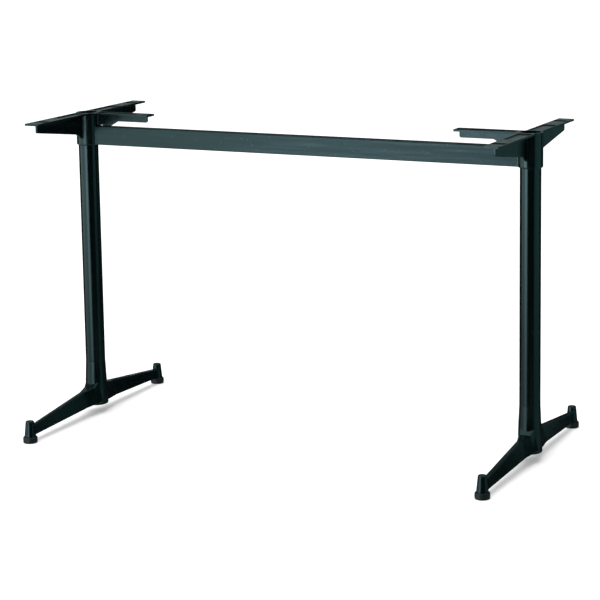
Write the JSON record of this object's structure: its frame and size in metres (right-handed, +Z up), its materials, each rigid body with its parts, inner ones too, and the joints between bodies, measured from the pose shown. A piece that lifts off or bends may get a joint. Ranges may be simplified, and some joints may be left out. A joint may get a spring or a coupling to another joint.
{
  "type": "two-column counter table frame",
  "caption": "Two-column frame that carries a counter-height table top on T brackets joined by a bar, with cast feet on levelling glides.",
  "frame": {"origin": "on the floor, midway between the two columns", "axes": "+X along the tie bar from the left column to the right one, +Y from the front feet to the back feet, +Z up"},
  "size_m": [1.576, 0.845, 0.99],
  "materials": {
    "cast_black": "semi-gloss black powder coat on a fine cast surface",
    "column_black": "semi-gloss black powder coat",
    "bar_black": "satin black powder coat",
    "zinc_steel": "bright zinc plating",
    "glide_black": "moulded black plastic"
  },
  "bodies": {
    "frame": {"left_foot": "cast_black", "left_column": "column_black", "left_top_bracket": "cast_black", "left_tie_rod": "zinc_steel", "left_rod_bottom_washer": "zinc_steel", "left_rod_bottom_nut": "zinc_steel", "left_rod_top_washer": "zinc_steel", "left_rod_top_nut": "zinc_steel", "left_bar_bolt": "zinc_steel", "left_bar_washer": "zinc_steel", "right_foot": "cast_black", "right_column": "column_black", "right_top_bracket": "cast_black", "right_tie_rod": "zinc_steel", "right_rod_bottom_washer": "zinc_steel", "right_rod_bottom_nut": "zinc_steel", "right_rod_top_washer": "zinc_steel", "right_rod_top_nut": "zinc_steel", "right_bar_bolt": "zinc_steel", "right_bar_washer": "zinc_steel", "tie_bar": "bar_black"},
    "left_front_glide": {"left_front_glide_pad": "glide_black", "left_front_glide_stud": "zinc_steel"},
    "left_back_glide": {"left_back_glide_pad": "glide_black", "left_back_glide_stud": "zinc_steel"},
    "right_front_glide": {"right_front_glide_pad": "glide_black", "right_front_glide_stud": "zinc_steel"},
    "right_back_glide": {"right_back_glide_pad": "glide_black", "right_back_glide_stud": "zinc_steel"}
  },
  "joints": [
    {"name": "left_front_glide_height", "type": "slide", "parent": "frame", "child": "left_front_glide", "axis": [0, 0, -1], "range_m": [0, 0.01]},
    {"name": "left_back_glide_height", "type": "slide", "parent": "frame", "child": "left_back_glide", "axis": [0, 0, -1], "range_m": [0, 0.01]},
    {"name": "right_front_glide_height", "type": "slide", "parent": "frame", "child": "right_front_glide", "axis": [0, 0, -1], "range_m": [0, 0.01]},
    {"name": "right_back_glide_height", "type": "slide", "parent": "frame", "child": "right_back_glide", "axis": [0, 0, -1], "range_m": [0, 0.01]}
  ]
}
